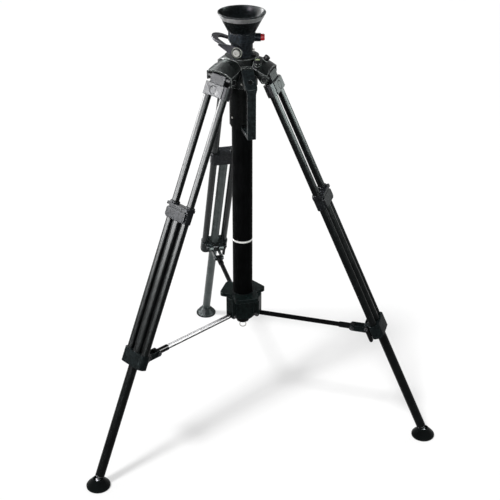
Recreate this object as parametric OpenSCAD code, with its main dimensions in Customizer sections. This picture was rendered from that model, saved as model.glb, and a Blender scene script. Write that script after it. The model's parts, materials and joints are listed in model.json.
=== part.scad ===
// Video tripod with a levelling bowl, a rising centre column and a folding spreader.
// Origin at the centre of the bowl rim, +Z up, the floor at z = -rim_h.

/* [Overall] */
// Height of the bowl rim above the floor
rim_h = 1088; // [1040:1:1140]
// Depth of the leg hinges under the bowl rim
hinge_drop = 143; // [140:1:148]
// Distance of each leg hinge from the column axis
hinge_r = 65; // [63:0.5:67]
// Lean of each opened leg from the vertical
leg_tilt = 24.55; // [23:0.05:26]

/* [Bowl] */
// Outer diameter of the bowl rim
bowl_d = 110; // [106:1:120]
// Height of the flared bowl
bowl_h = 43; // [42:0.5:46]
// Outer diameter of the bowl at its foot
bowl_foot_d = 66; // [64:1:70]
// Width of the flat rim
bowl_lip = 2.5; // [2:0.1:3]
// Height above the rim of the centre of the ball that the bowl takes
bowl_seat_rise = 19.5; // [18:0.5:22]
// Diameter of the hole for the clamping bolt
bowl_hole_d = 30; // [26:0.5:32]

/* [Neck] */
// Diameter of the collar under the bowl
neck_d = 63; // [60:1:66]
// Height of the collar under the bowl
neck_h = 27; // [26:0.5:28]
// Diameter of the boss that carries the release plunger
plunger_boss_d = 19; // [18:0.5:19.5]
// Diameter of the plunger's red button
plunger_d = 15.5; // [14:0.5:16]
// How far the red button stands out of its boss
plunger_out = 9; // [8:0.5:10]

/* [Column] */
// Diameter of the rising inner column
inner_d = 38; // [36:0.5:39]
// Wall of the inner column
inner_wall = 3; // [2.5:0.5:4]
// Length of the inner column
inner_len = 560; // [520:5:580]
// Diameter of the fixed column tube
sheath_d = 50; // [49:0.5:50.5]
// Wall of the fixed column tube
sheath_wall = 2.5; // [2:0.25:2.5]
// Diameter of the housing around the top of the column tube
housing_d = 60; // [58:1:62]
// Depth of the housing's lower end below the rim
housing_end = 270; // [260:1:280]
// How far the white ring stands above the lower end of the inner column
ring_above = 27; // [0:1:40]
// Height of the white ring itself
ring_w = 5; // [4:0.5:6]
// Diameter of the clamp that grips the inner column
clamp_d = 51; // [50:0.5:54]
// Height of the clamp that grips the inner column
clamp_h = 31; // [30:0.5:32]

/* [Bail lever] */
// Height of the bail's pivot under the rim
bail_drop = 86; // [85.5:0.5:88]
// Reach of the bail from its pivot to its crown
bail_reach = 77; // [73:1:80]
// Thickness of the bail
bail_t = 5; // [4:0.5:6]
// Tilt of the locked bail above the horizontal
bail_tilt = 20; // [18:1:24]
// Diameter of the bail's pivot bolts
bail_pin_d = 10; // [8:0.5:11]

/* [Shoulder] */
// Half width of a hood at its front
hood_half = 42; // [42:0.5:44]
// Reach of a hood from the column axis
hood_reach = 72; // [70:0.5:73]
// Wall of a hood
hood_wall = 4; // [3:0.25:4]
// Diameter of the leg hinge bolts
pivot_d = 8; // [7:0.5:10]
// Diameter of the shoulder's central barrel
barrel_d = 80; // [78:1:84]
// Depth of the barrel's lower edge below the leg hinges
barrel_skirt = 29; // [28:0.5:30]

/* [Carry handle] */
// Distance of the handle's grip from the column axis
grip_r = 92; // [88:1:96]
// How far the handle's lower end lies below the housing
grip_below = 5; // [4:0.5:5]
// Width of the handle's grip
grip_w = 20; // [18:1:24]
// Thickness of the handle
grip_t = 8; // [7:0.5:9]
// Height of the sloping plate at the handle's top
plate_rise = 34; // [32:0.5:36]

/* [Legs] */
// Diameter of the two outer leg tubes
tube_d = 18; // [17:0.5:18.5]
// Wall of the outer leg tubes
tube_wall = 1.5; // [1:0.25:2]
// Spacing of the two outer leg tubes
tube_gap = 53; // [52:0.5:54]
// Diameter of the sliding centre tube
centre_d = 23; // [22:0.5:23.5]
// Wall of the sliding centre tube
centre_wall = 1.5; // [1.25:0.25:2]
// Depth of the leg blocks, front to back
block_depth = 30; // [28:0.5:31]
// Length of the leg blocks along the leg
block_len = 30; // [28:1:34]
// Distance along the leg from the hinge to the slider
slider_at = 327; // [300:1:400]
// Length of the slider along the leg
slider_len = 36; // [34:1:40]
// Distance along the leg from the spreader arm's pin to the middle of the leg clamp
clamp_set = 14.82; // [13:0.01:16.5]
// Length of the leg clamp along the leg
leg_clamp_len = 36; // [35:0.5:37]

/* [Spreader] */
// Height of the opened spreader arms above the floor
spreader_h = 300; // [298:0.5:302]
// Distance of the hub's arm pins from the column axis
hub_pin_r = 40; // [39.5:0.25:41]
// Distance of each arm's leg pin from the axis of the leg
lug_in = 63.33; // [62.5:0.01:65]
// Diameter of the spreader rods
rod_d = 12; // [11:0.5:12.5]
// Diameter of the sleeves at the rods' outer ends
sleeve_d = 15; // [14.5:0.25:15.5]
// Length of the sleeves
sleeve_len = 34; // [30:1:50]
// Diameter of the arm pins
arm_pin_d = 5; // [4:0.5:5.5]
// Diameter of the sliding hub
hub_d = 67; // [66:0.5:67.5]
// Height of the sliding hub
hub_h = 68; // [64:1:72]

/* [Feet] */
// Diameter of a rubber foot
foot_d = 59; // [55:1:64]
// Height of a rubber foot
foot_h = 24; // [23:0.5:26]
// Diameter of the ankle ball
ball_d = 16; // [15:0.5:17]
// Height of the ankle ball's centre above the floor
ball_h = 15; // [14:0.5:16]

/* [Fits] */
// Radial clearance of a turning or sliding fit
run_gap = 0.08; // [0.05:0.01:0.1]
// Radial clearance of a glued or pressed fit
glue_gap = 0.02; // [0.01:0.01:0.05]
// Clearance between faces that pass each other
face_gap = 0.4; // [0.3:0.05:0.5]

/* [Hidden] */
$fn = 64;
LEGS = [90, 210, 330];

black = [0.06, 0.065, 0.07];
casting = [0.11, 0.12, 0.13];
grey = [0.55, 0.56, 0.58];
violet = [0.33, 0.33, 0.40];
steel = [0.75, 0.75, 0.76];

// Heights measured down from the rim.
neck_top = bowl_h;
clamp_top = bowl_h + neck_h + face_gap;
shoulder_top = clamp_top + clamp_h;
hinge_h = rim_h - hinge_drop;
hinge_z = -hinge_drop;
barrel_bottom = hinge_drop + barrel_skirt;
knuckle_half = 23;
knuckle_d = 25;
cheek_drop = hinge_drop + 9;
crown_drop = hinge_drop - knuckle_d / 2 - hood_wall - 2;
hood_in = 34;
hood_bend = hood_reach - 20;
cheek_in = hood_half - hood_wall;
cavity_in = hinge_r - knuckle_d / 2 - 1.5;
bolt_head_d = 12;
bolt_head_t = 2;
handle_top = hinge_drop - 21;
handle_in = barrel_d / 2 + 9;
handle_w = grip_w + 8;
plunger_az = -14;
plunger_drop = neck_top + neck_h * 0.62;
boss_end = neck_d / 2 + 12;
bail_az = 238;
boss_r = 31;
bail_boss_d = 18;
eye_t = 5;
eye_d = 26;
level_r = 50;
level_az = 302;
level_d = 17;
vial_d = 12;
knob_r = 53;
knob_az = 335;
knob_d = 14;
knob_shank_d = 5;
knob_seat = 3;
housing_top = hinge_drop + 7;
sheath_top = shoulder_top;
inner_end = neck_top + 5 + inner_len;
ring_h = rim_h - inner_end + ring_above;
grip_end = housing_end + grip_below;

// The hub and the lower end of the column, as heights above the floor.
hub_low = spreader_h - 8;
hub_top = hub_low + hub_h;
flange_t = 10;
hub_bush_d = sheath_d + 6;
cap_top = hub_low - face_gap;
cap_t = 6;
sheath_low = cap_top;
knob_low = cap_top - cap_t - 15;
eye_h = knob_low - 5;
eye_hole_d = 4.2;
eye_turn = 76;

// The leg frame hangs from the hinge: x points away from the column, z up the leg.
foot_at = (hinge_h - ball_h) / cos(leg_tilt);
block_top = 15;
block_end = block_top + block_len;
face_x = block_depth / 2;
socket_d = tube_d + 8;
tube_top = block_top + 4;

// The lug pin from the column axis, and along the leg.
lug_pin_r = hinge_r + (hinge_h - spreader_h) * tan(leg_tilt) - lug_in / cos(leg_tilt);
lug_at = (hinge_h - spreader_h) * cos(leg_tilt) + (lug_pin_r - hinge_r) * sin(leg_tilt);

leg_clamp_at = lug_at + clamp_set;
clamp_low = leg_clamp_at + leg_clamp_len / 2;
clamp_high = leg_clamp_at - leg_clamp_len / 2;
tube_end = clamp_low - 4;
clamp_half = tube_gap / 2 + tube_d / 2 + 2;
slider_top = slider_at - slider_len / 2;
slider_end = slider_at + slider_len / 2;
centre_top = slider_top + 2;
centre_end = foot_at - ball_d / 2 - 8;
ankle_r = 5;

lug_gap = sleeve_d + 2 * face_gap;
finger_t = 3;
lobe_t = 14;
squeeze_in = face_x + 6;
squeeze_at = clamp_high + 7;
squeeze_d = 6;
lever_t = 6;
fork_gap = rod_d + 2 * face_gap;
fork_t = 5;
arm_len = lug_pin_r - hub_pin_r;

// ---- helpers ----

module at_height(h) { translate([0, 0, h - rim_h]) children(); }

module down(d) { translate([0, 0, -d]) children(); }

module spin(az) { rotate([0, 0, az]) children(); }

module leg_frame(az) { spin(az) translate([hinge_r, 0, hinge_z]) rotate([0, -leg_tilt, 0]) children(); }

module ring(d_out, d_in, h) {
    difference() {
        cylinder(d = d_out, h = h);
        translate([0, 0, -1]) cylinder(d = d_in, h = h + 2);
    }
}

// A cylinder along y, centred.
module cross_rod(d, w) { rotate([90, 0, 0]) cylinder(d = d, h = w, center = true); }

// A cylinder along x from x0 to x1.
module long_rod(d, x0, x1) { translate([x0, 0, 0]) rotate([0, 90, 0]) cylinder(d = d, h = x1 - x0); }

module rounded_rect(x, y, r) {
    square([x - 2 * r, y], center = true);
    square([x, y - 2 * r], center = true);
    for (i = [-1, 1], j = [-1, 1]) translate([i * (x / 2 - r), j * (y / 2 - r)]) circle(r = r);
}

module cap_screw(d_head, h_head, d_socket) {
    difference() {
        cylinder(d = d_head, h = h_head);
        translate([0, 0, h_head * 0.4]) cylinder(d = d_socket, h = h_head, $fn = 6);
    }
}

// ---- bowl and neck, on the rising column ----

module bowl() {
    seat_r = sqrt(pow(bowl_d / 2 - bowl_lip, 2) + pow(bowl_seat_rise, 2));
    color(black) difference() {
        rotate_extrude() polygon([[0, -bowl_h], [bowl_foot_d / 2, -bowl_h],
            [bowl_d / 2 - 0.6, -2.5], [bowl_d / 2, -1.8], [bowl_d / 2, 0], [0, 0]]);
        translate([0, 0, bowl_seat_rise]) sphere(r = seat_r, $fn = 96);
        down(bowl_h + 1) cylinder(d = bowl_hole_d, h = bowl_h);
    }
}

module at_plunger() { spin(plunger_az) down(plunger_drop) children(); }

module neck_collar() {
    color(casting) difference() {
        union() {
            down(neck_top + neck_h) cylinder(d = neck_d - 5, h = neck_h);
            down(neck_top + neck_h - 5) cylinder(d = neck_d, h = neck_h - 9);
            at_plunger() long_rod(plunger_boss_d, neck_d / 2 - 6, boss_end);
        }
        down(neck_top + neck_h + 1) cylinder(d = inner_d + 2 * glue_gap, h = neck_h - 4);
        down(neck_top + 8) cylinder(d = bowl_hole_d + 2, h = 10);
        at_plunger() long_rod(plunger_d + 2 * run_gap, neck_d / 2 - 1, boss_end + 1);
    }
}

module release_plunger() {
    at_plunger() color([0.75, 0.05, 0.05]) {
        long_rod(plunger_d, neck_d / 2 + 5, boss_end + plunger_out - 1.5);
        long_rod(plunger_d - 2, boss_end + plunger_out - 1.5, boss_end + plunger_out);
    }
}

module inner_column() {
    color(casting) down(inner_end) ring(inner_d, inner_d - 2 * inner_wall, inner_len);
}

module column_bush() {
    bush_h = 30;
    color([0.82, 0.82, 0.78]) down(inner_end)
        ring(sheath_d - 2 * sheath_wall - 2 * run_gap, inner_d + 2 * glue_gap, bush_h);
}

// ---- the column clamp and its bail lever ----

module at_bail() { spin(bail_az) down(bail_drop) children(); }

module column_clamp() {
    color(casting) difference() {
        union() {
            down(clamp_top + clamp_h) cylinder(d = clamp_d, h = clamp_h);
            at_bail() for (s = [-1, 1]) scale([s, 1, 1]) long_rod(bail_boss_d, 15, boss_r);
        }
        down(clamp_top + clamp_h + 1) cylinder(d = inner_d + 2 * run_gap, h = clamp_h + 2);
        spin(bail_az - 90) down(clamp_top + clamp_h - 6) translate([inner_d / 2 - 2, -1, 0])
            cube([clamp_d, 2, clamp_h]);
        at_bail() for (s = [-1, 1]) scale([s, 1, 1])
            long_rod(bail_pin_d + 2 * glue_gap, clamp_d / 2 - 1, boss_r + 1);
    }
}

module bail_bolts() {
    color(steel) at_bail() for (s = [-1, 1]) rotate([0, 0, s > 0 ? 0 : 180]) {
        long_rod(bail_pin_d, clamp_d / 2 - 1 + face_gap, boss_r + eye_t + 2 * face_gap);
        translate([boss_r + eye_t + 2 * face_gap, 0, 0]) rotate([0, 90, 0]) cap_screw(16, 4, 8);
    }
}

module bail_outline() {
    crown_r = 26;
    strip = 15;
    half = boss_r + face_gap + eye_t;
    difference() {
        hull() {
            translate([bail_reach - crown_r, 0]) circle(r = crown_r, $fn = 48);
            translate([0, -half]) square([bail_boss_d / 2 + 3, 2 * half]);
        }
        hull() {
            translate([bail_reach - crown_r - 4, 0]) circle(r = crown_r + 4 - strip, $fn = 48);
            translate([-1, eye_t - half]) square([bail_boss_d / 2 + 4, 2 * (half - eye_t)]);
        }
    }
}

module bail_lever() {
    color(black) at_bail() difference() {
        union() {
            rotate([0, 0, -90]) rotate([0, -bail_tilt, 0])
                translate([0, 0, -bail_t / 2]) linear_extrude(bail_t) bail_outline();
            for (s = [-1, 1]) hull() {
                rotate([0, 0, s > 0 ? 0 : 180])
                    long_rod(eye_d, boss_r + face_gap, boss_r + face_gap + eye_t);
                rotate([0, 0, -90]) rotate([0, -bail_tilt, 0])
                    translate([bail_reach - 30, s * (boss_r + face_gap + eye_t / 2), 0])
                    cube([1, eye_t, bail_t], center = true);
            }
        }
        for (s = [-1, 1]) rotate([0, 0, s > 0 ? 0 : 180])
            long_rod(bail_pin_d + 2 * run_gap, boss_r - 1, boss_r + eye_t + 2);
    }
}

// ---- the shoulder ----

// A thin slice of a hood: an arched top at depth d that falls by sag at the cheeks,
// which reach down to depth e.
module hood_slice(x, half, d, sag, e) {
    arch_r = (half * half + sag * sag) / (2 * sag);
    translate([x, 0, 0]) rotate([90, 0, 90]) linear_extrude(0.5) intersection() {
        translate([-half, -e]) square([2 * half, e]);
        translate([0, -d - arch_r]) circle(r = arch_r, $fn = 72);
    }
}

module hood() {
    hull() {
        hood_slice(hood_in, hood_half - 8, shoulder_top + 0.5, 18, hinge_drop - 17);
        hood_slice(hood_bend, hood_half - 1, shoulder_top + 6.5, 16, cheek_drop - 8);
        hood_slice(hinge_r - 6, hood_half, crown_drop, 8, cheek_drop);
        hood_slice(hood_reach - 0.5, hood_half, crown_drop, 8, cheek_drop);
    }
}

module hood_cavity() {
    hull() {
        hood_slice(cavity_in, cheek_in, crown_drop + hood_wall, 7, barrel_bottom + 1);
        hood_slice(hinge_r - 3, cheek_in, crown_drop + hood_wall - 7, 8, barrel_bottom + 1);
        hood_slice(hood_reach + 1, cheek_in, crown_drop + hood_wall, 7, barrel_bottom + 1);
    }
}

// The side view of the lug under the handle's sloping plate.
module handle_lug() {
    inner = grip_r - grip_t / 2;
    top = handle_top + grip_t + 1;
    run = (inner - handle_in - 4) * 0.82;
    spin(270) rotate([90, 0, 0]) linear_extrude(handle_w - 2, center = true)
        polygon([[barrel_d / 2 - 8, -handle_top + 4], [handle_in, -handle_top + 4], [handle_in, -top],
            [handle_in + 4, -top], [handle_in + 4 + run, -top - run * 0.714],
            [handle_in + 4 + run, -top - run * 0.714 - 8], [barrel_d / 2 - 8, -top - 20]]);
}

module shoulder_casting() {
    color(casting) difference() {
        union() {
            down(barrel_bottom) cylinder(d = barrel_d - 6, h = barrel_bottom - shoulder_top);
            down(cheek_drop - 10) cylinder(d = barrel_d, h = cheek_drop - 10 - shoulder_top);
            for (az = LEGS) spin(az) hood();
            handle_lug();
            down(20) at_level() cylinder(d = level_d + 1, h = 20);
            at_knob() translate([0, 0, knob_seat - 9]) cylinder(d = knob_d, h = 9);
        }
        for (az = LEGS) spin(az) {
            hood_cavity();
            translate([hinge_r, 0, hinge_z]) {
                cross_rod(pivot_d + 2 * glue_gap, 2 * hood_half + 10);
                for (s = [-1, 1]) translate([0, s * hood_half, 0])
                    cross_rod(bolt_head_d + 2 * glue_gap, 2 * bolt_head_t);
            }
        }
        at_knob() translate([0, 0, knob_seat - 6.5]) cylinder(d = knob_shank_d + 2 * run_gap, h = 8);
        at_level() cylinder(d = level_d + 2 * glue_gap, h = 12);
        at_handle_screw() cylinder(d = 5 + 2 * glue_gap, h = 30, center = true);
        down(barrel_bottom + 1) cylinder(d = sheath_d + 2 * glue_gap, h = barrel_bottom);
        down(barrel_bottom + 1) cylinder(d = housing_d + 2 * glue_gap, h = barrel_bottom - housing_top + 1);
    }
}

module pivot_bolts() {
    head_y = hood_half - bolt_head_t;
    bush_d = 18;
    bush_w = cheek_in - knuckle_half - 2 * face_gap;
    for (az = LEGS) spin(az) translate([hinge_r, 0, hinge_z]) color(steel) {
        cross_rod(pivot_d, 2 * head_y);
        for (s = [-1, 1]) translate([0, s * (knuckle_half + face_gap + bush_w / 2), 0]) difference() {
            cross_rod(bush_d, bush_w);
            cross_rod(pivot_d + 2 * glue_gap, bush_w + 2);
        }
        for (s = [-1, 1]) translate([0, s * head_y, 0]) rotate([-90 * s, 0, 0])
            cap_screw(bolt_head_d, bolt_head_t, 5);
    }
}

module at_level() { spin(level_az) down(shoulder_top + 8) translate([level_r, 0, 0]) children(); }

module level_housing() {
    color(casting) at_level() ring(level_d, vial_d + 2 * glue_gap, 8);
}

module level_vial() {
    color([0.75, 0.85, 0.35]) at_level() cylinder(d = vial_d, h = 7.4);
}

// The knob's own frame on the slope of a hood, z along its screw.
module at_knob() {
    spin(knob_az) down(crown_drop - 13) translate([knob_r, 0, 0]) rotate([0, 40, 0]) children();
}

module shoulder_knob() {
    color(black) at_knob() {
        translate([0, 0, knob_seat + face_gap]) difference() {
            cylinder(d = knob_d, h = 9);
            for (a = [0 : 45 : 315]) spin(a) translate([knob_d / 2 + 1.2, 0, -1]) cylinder(d = 4, h = 11);
        }
        translate([0, 0, knob_seat - 6]) cylinder(d = knob_shank_d, h = 7);
    }
}

// ---- the fixed column ----

module column_housing() {
    color(casting) difference() {
        union() {
            down(housing_end) cylinder(d = housing_d, h = housing_end - housing_top);
            down(grip_end) cylinder(d = housing_d - 5, h = grip_below + 1);
            spin(270) down(grip_end) translate([housing_d / 2 - 6, -8, 0]) cube([12, 16, grip_t + 4]);
        }
        down(housing_end + 6) cylinder(d = sheath_d + 2 * glue_gap, h = housing_end);
    }
}

module column_tube() {
    ring_depth = 0.8;
    color(black) difference() {
        at_height(sheath_low) ring(sheath_d, sheath_d - 2 * sheath_wall, rim_h - sheath_top - sheath_low);
        at_height(ring_h) ring(sheath_d + 2, sheath_d - 2 * ring_depth, ring_w);
    }
}

module limit_ring() {
    color([0.9, 0.9, 0.88]) at_height(ring_h) ring(sheath_d, sheath_d - 1.6, ring_w);
}

module column_end_cap() {
    ribbed_d = 32;
    plug_d = sheath_d - 2 * sheath_wall - 2 * glue_gap;
    color(black) difference() {
        union() {
            at_height(cap_top - cap_t) cylinder(d = sheath_d + 6, h = cap_t);
            at_height(cap_top - cap_t) cylinder(d = plug_d, h = cap_t + 18);
            at_height(knob_low) cylinder(d = ribbed_d, h = cap_top - cap_t - knob_low);
            spin(eye_turn) at_height(eye_h) cross_rod(8, 5);
            spin(eye_turn) at_height(eye_h) translate([-4, -2.5, 0]) cube([8, 5, knob_low - eye_h + 1]);
        }
        for (a = [0 : 20 : 340]) spin(a) at_height(knob_low - 1) translate([ribbed_d / 2 + 0.8, 0, 0])
            cylinder(d = 4, h = cap_top - cap_t - knob_low - 1);
        spin(eye_turn) at_height(eye_h - 0.5) cross_rod(eye_hole_d, 8);
    }
}

module ballast_ring() {
    ring_r = 8;
    wire = eye_hole_d / 3;
    color(steel) spin(eye_turn) at_height(eye_h - 0.5 - ring_r) rotate([0, 90, 0])
        rotate_extrude($fn = 48) translate([ring_r, 0]) circle(r = wire, $fn = 24);
}

// ---- the carry handle ----

handle_neck = handle_top + plate_rise;
slope_in = handle_in + 7;
slope_a = atan2(handle_neck - 2 - handle_top, grip_r + grip_t / 2 - slope_in);

// The screw's own frame on the sloping plate, z along the screw.
module at_handle_screw() {
    run = grip_r + grip_t / 2 - slope_in;
    spin(270) translate([slope_in + 0.6 * run, 0, -handle_top - 0.6 * (handle_neck - 2 - handle_top)])
        rotate([0, slope_a, 0]) children();
}

module carry_handle() {
    inner = grip_r - grip_t / 2;
    outer = grip_r + grip_t / 2;
    foot_r = housing_d / 2 + 6;
    top = handle_top + grip_t + 1;
    run = inner - handle_in - 4;
    color(black) difference() {
        spin(270) intersection() {
            rotate([90, 0, 0]) linear_extrude(handle_w, center = true)
                polygon([[handle_in, -handle_top], [slope_in, -handle_top], [outer, 2 - handle_neck],
                    [outer, -grip_end], [foot_r, -grip_end], [foot_r, grip_t - grip_end],
                    [inner, grip_t - grip_end], [inner, -top - run * 0.714], [handle_in + 4, -top],
                    [handle_in, -top]]);
            union() {
                translate([0, -handle_w / 2, 6 - handle_neck]) cube([outer + 1, handle_w, handle_neck]);
                translate([0, -grip_w / 2, -grip_end - 1]) cube([outer + 1, grip_w, grip_end]);
                translate([0, 0, 6 - handle_neck]) rotate([0, 90, 0]) linear_extrude(outer + 1)
                    polygon([[0, -handle_w / 2], [0, handle_w / 2], [16, grip_w / 2], [16, -grip_w / 2]]);
            }
        }
        at_handle_screw() {
            down(4) cylinder(d = 12, h = 10);
            cylinder(d = 5 + 2 * glue_gap, h = 30, center = true);
        }
    }
}

module handle_screw() {
    color(steel) at_handle_screw() {
        down(4) cap_screw(10, 3, 5);
        down(14) cylinder(d = 5, h = 11);
    }
}

// ---- the sliding hub and its arms ----

module at_arm(az) { spin(az) at_height(spreader_h) translate([hub_pin_r, 0, 0]) children(); }

module hub_body() {
    lobe_r = hub_d / 2 + 19.5;
    lobe_w = hub_d - 5;
    fork_out = hub_pin_r + 7;
    color(casting) difference() {
        union() {
            at_height(hub_low) cylinder(d = hub_d, h = hub_h);
            at_height(hub_top - flange_t) linear_extrude(flange_t)
                for (az = LEGS) rotate([0, 0, az + 60]) translate([lobe_r / 2, 0])
                    rounded_rect(lobe_r, lobe_w, 9);
            for (az = LEGS) spin(az) {
                at_height(spreader_h) translate([0, -fork_gap / 2 - fork_t, 0])
                    cube([fork_out, fork_gap + 2 * fork_t, hub_top - flange_t - spreader_h + 2]);
                at_height(spreader_h) translate([hub_pin_r, 0, 0])
                    cross_rod(2 * (fork_out - hub_pin_r), fork_gap + 2 * fork_t);
            }
        }
        for (az = LEGS) spin(az) at_height(hub_low - 1)
            translate([hub_d / 2 - 0.2, -fork_gap / 2, 0])
            cube([40, fork_gap, spreader_h - hub_low + 1 + rod_d / 2 + 2]);
        for (az = LEGS) at_arm(az) cross_rod(arm_pin_d + 2 * glue_gap, 60);
        at_height(hub_low - 1) cylinder(d = hub_bush_d + 2 * glue_gap, h = hub_h + 2);
    }
}

module hub_bush() {
    color([0.82, 0.82, 0.78]) at_height(hub_low) ring(hub_bush_d, sheath_d + 2 * run_gap, hub_h);
}

module arm_pins() {
    half = fork_gap / 2 + fork_t;
    color(steel) for (az = LEGS) at_arm(az) {
        cross_rod(arm_pin_d, 2 * half + 0.5);
        for (s = [-1, 1]) translate([0, s * (half + 0.25), 0]) rotate([-90 * s, 0, 0]) cap_screw(9, 2.5, 4);
    }
}

module arm_rod(az) {
    color(black) at_arm(az) difference() {
        union() {
            cross_rod(rod_d, rod_d);
            long_rod(rod_d, 0, arm_len - sleeve_d / 2 - 6);
        }
        cross_rod(arm_pin_d + 2 * run_gap, rod_d + 2);
    }
}

module arm_sleeve(az) {
    color(black) at_arm(az) difference() {
        union() {
            long_rod(sleeve_d, arm_len - sleeve_len, arm_len);
            translate([arm_len, 0, 0]) cross_rod(sleeve_d, sleeve_d);
        }
        long_rod(rod_d + 2 * glue_gap, arm_len - sleeve_len - 1, arm_len - sleeve_d / 2 - 6);
        translate([arm_len, 0, 0]) cross_rod(squeeze_d, sleeve_d + 2);
    }
}

// ---- one leg ----

module leg_knuckle(az) {
    flat_x = knuckle_d / 2 - 1.5;
    color(violet) leg_frame(az) difference() {
        union() {
            cross_rod(knuckle_d, 2 * knuckle_half);
            down(block_top) translate([-9, -knuckle_half, 0]) cube([9 + flat_x, 2 * knuckle_half, block_top]);
        }
        down(block_top + 1) translate([flat_x, -knuckle_half - 1, 0])
            cube([knuckle_d, 2 * knuckle_half + 2, 2 * block_top + 2]);
        cross_rod(pivot_d + 2 * run_gap, 2 * knuckle_half + 2);
    }
}

module leg_block(az) {
    badge_d = 21;
    color(grey) leg_frame(az) difference() {
        union() {
            for (s = [-1, 1]) translate([0, s * tube_gap / 2, -block_end])
                cylinder(d = socket_d, h = block_len);
            down(block_end - 1) translate([-face_x + 3, -tube_gap / 2, 0])
                cube([block_depth - 4, tube_gap, block_len - 1]);
            down(block_end - 2) translate([0, -30, 0]) cube([face_x, 60, block_len - 3]);
        }
        for (s = [-1, 1]) translate([0, s * tube_gap / 2, -block_end - 1])
            cylinder(d = tube_d + 2 * glue_gap, h = block_end - tube_top + 1);
        translate([face_x - 1.2, 0, -(block_top + block_end) / 2]) rotate([0, 90, 0])
            ring(badge_d, badge_d - 3, 2);
    }
}

module outer_tubes(az) {
    color(black) leg_frame(az) for (s = [-1, 1]) translate([0, s * tube_gap / 2, -tube_end])
        ring(tube_d, tube_d - 2 * tube_wall, tube_end - tube_top);
}

// The lug pin's own frame, level with the opened arm; x points outwards.
module at_lug() { translate([-lug_in, 0, -lug_at]) rotate([0, leg_tilt, 0]) children(); }

module leg_clamp(az) {
    finger_len = (lug_in - face_x + 5) / cos(leg_tilt);
    color(casting) leg_frame(az) difference() {
        union() {
            down(clamp_low) linear_extrude(leg_clamp_len) rounded_rect(block_depth, 2 * clamp_half, 13);
            for (s = [-1, 1]) {
                translate([0, s * (lug_gap / 2 + lobe_t / 2), 0]) rotate([90, 0, 0])
                    linear_extrude(lobe_t, center = true)
                    polygon([[-face_x + 3, -clamp_high - 1], [-face_x - 12, -clamp_high - 1],
                        [-face_x - 17, -clamp_high - 6], [-face_x - 16, -clamp_high - 12],
                        [-face_x, -clamp_low + 1], [-face_x + 3, -clamp_low + 1]]);
                translate([0, s * (lug_gap + finger_t) / 2, 0]) at_lug() {
                    cross_rod(sleeve_d, finger_t);
                    translate([0, -finger_t / 2, -sleeve_d / 2]) cube([finger_len, finger_t, sleeve_d]);
                }
            }
        }
        down(clamp_low + 1) cylinder(d = centre_d + 2 * run_gap, h = leg_clamp_len + 2);
        for (s = [-1, 1]) translate([0, s * tube_gap / 2, -tube_end])
            cylinder(d = tube_d + 2 * glue_gap, h = leg_clamp_len);
        down(clamp_low + 1) translate([-face_x - 1, -1, 0])
            cube([face_x - centre_d / 2 + 3, 2, leg_clamp_len + 2]);
        translate([-squeeze_in, 0, -squeeze_at])
            cross_rod(squeeze_d + 2 * glue_gap, lug_gap + 2 * lobe_t + 2);
        for (s = [-1, 1]) translate([0, s * (lug_gap + finger_t) / 2, 0]) at_lug()
            cross_rod(squeeze_d + 2 * glue_gap, finger_t + 1);
    }
}

module clamp_bolts(az) {
    lobe_out = lug_gap / 2 + lobe_t;
    nut_y = lobe_out + face_gap / 2;
    color(steel) leg_frame(az) {
        translate([-squeeze_in, 0, -squeeze_at]) {
            translate([0, -(lever_t + 1) / 2, 0]) cross_rod(squeeze_d, 2 * nut_y + lever_t + 1);
            translate([0, nut_y, 0]) rotate([-90, 0, 0]) cap_screw(10, 4, 5);
            translate([0, -nut_y - lever_t - 1, 0]) rotate([90, 0, 0]) cap_screw(10, 2.5, 4);
        }
        for (s = [-1, 1]) at_lug() {
            translate([0, s * (lug_gap + finger_t) / 2, 0]) cross_rod(squeeze_d, finger_t);
            translate([0, s * (lug_gap / 2 + finger_t), 0]) rotate([-90 * s, 0, 0]) cap_screw(11, 2.5, 5);
        }
    }
}

module clamp_lever(az) {
    lever_len = 34;
    lobe_out = lug_gap / 2 + lobe_t;
    color(black) leg_frame(az) translate([-squeeze_in, -lobe_out - face_gap - lever_t / 2, -squeeze_at])
        difference() {
            union() {
                cross_rod(11, lever_t);
                down(lever_len) translate([-5, -lever_t / 2, 0]) cube([9, lever_t, lever_len]);
                down(lever_len) translate([-0.5, 0, 0]) cross_rod(9, lever_t);
            }
            cross_rod(squeeze_d + 2 * run_gap, lever_t + 2);
        }
}

module slider(az) {
    half = clamp_half - 1;
    lip_t = 6;
    plate_h = slider_len - lip_t - 5;
    color(violet) leg_frame(az) difference() {
        union() {
            down(slider_end) linear_extrude(slider_len) rounded_rect(block_depth - 4, 2 * half, 11);
            down(slider_top + lip_t) linear_extrude(lip_t) translate([3, 0])
                rounded_rect(block_depth, 2 * half + 4, 8);
            translate([face_x - 4, 0, -slider_end + 2 + plate_h / 2]) rotate([90, 0, 90])
                linear_extrude(5) rounded_rect(2 * half - 7, plate_h, 7);
            for (s = [-1, 1]) translate([0, s * tube_gap / 2, -slider_top - 1])
                cylinder(d = tube_d + 6, h = 4);
        }
        for (s = [-1, 1]) translate([0, s * tube_gap / 2, -slider_end - 1])
            cylinder(d = tube_d + 2 * run_gap, h = slider_len + 6);
        down(slider_end + 1) cylinder(d = centre_d + 2 * glue_gap, h = slider_end - centre_top + 1);
    }
}

module centre_tube(az) {
    color(black) leg_frame(az) down(centre_end)
        ring(centre_d, centre_d - 2 * centre_wall, centre_end - centre_top);
}

module ankle(az) {
    color(casting) leg_frame(az) {
        down(foot_at) sphere(d = ball_d, $fn = 48);
        down(foot_at) cylinder(r = ankle_r, h = foot_at - centre_end + 5);
        down(centre_end) cylinder(d = centre_d - 2 * centre_wall - 2 * glue_gap, h = 20);
        down(centre_end + 2) cylinder(d = centre_d, h = 2);
    }
}

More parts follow.
